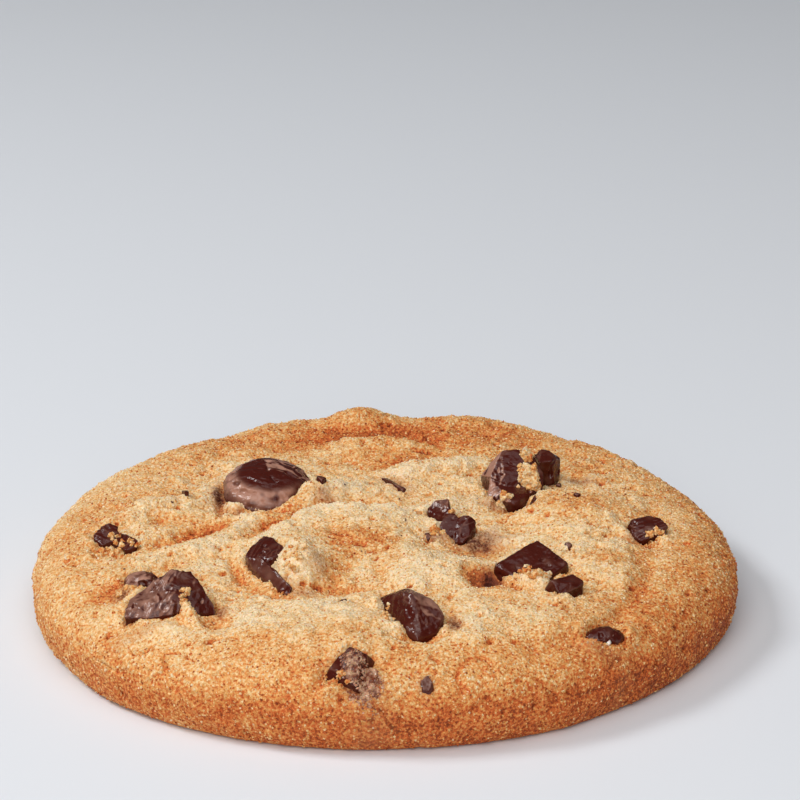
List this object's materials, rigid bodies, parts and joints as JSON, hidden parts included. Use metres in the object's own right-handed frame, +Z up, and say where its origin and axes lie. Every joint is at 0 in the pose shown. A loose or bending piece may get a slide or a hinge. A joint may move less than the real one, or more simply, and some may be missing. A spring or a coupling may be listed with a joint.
{
  "type": "chocolate chip cookie",
  "caption": "Round baked cookie with a rolled rim, a wrinkled domed top, a flat underside, and chocolate chips and chunks set in its top.",
  "frame": {"origin": "centre of the bounding box at the flat underside, where the cookie rests", "axes": "+Z up out of the top, through the cookie's thickness; +X to the right and +Y to the back as it is mainly seen"},
  "size_m": [0.0894, 0.0882, 0.0159],
  "materials": {
    "baked_dough": "matt, sandy crumb, browned at the rim and underside",
    "dark_chocolate": "melted and set again: satin to glossy, with a greyish bloom in places"
  },
  "bodies": {
    "root": {"cookie_dough": "baked_dough", "back_chunk": "dark_chocolate", "back_crumb": "dark_chocolate", "coin_chip": "dark_chocolate", "crescent_chip": "dark_chocolate", "front_drop": "dark_chocolate", "left_chip": "dark_chocolate", "lower_right_chip": "dark_chocolate", "middle_chunk": "dark_chocolate", "middle_lump": "dark_chocolate", "peak_chunk": "dark_chocolate", "peak_offcut": "dark_chocolate", "right_chip": "dark_chocolate", "shoulder_chunk": "dark_chocolate", "square_chunk": "dark_chocolate", "square_offcut": "dark_chocolate"}
  },
  "joints": []
}
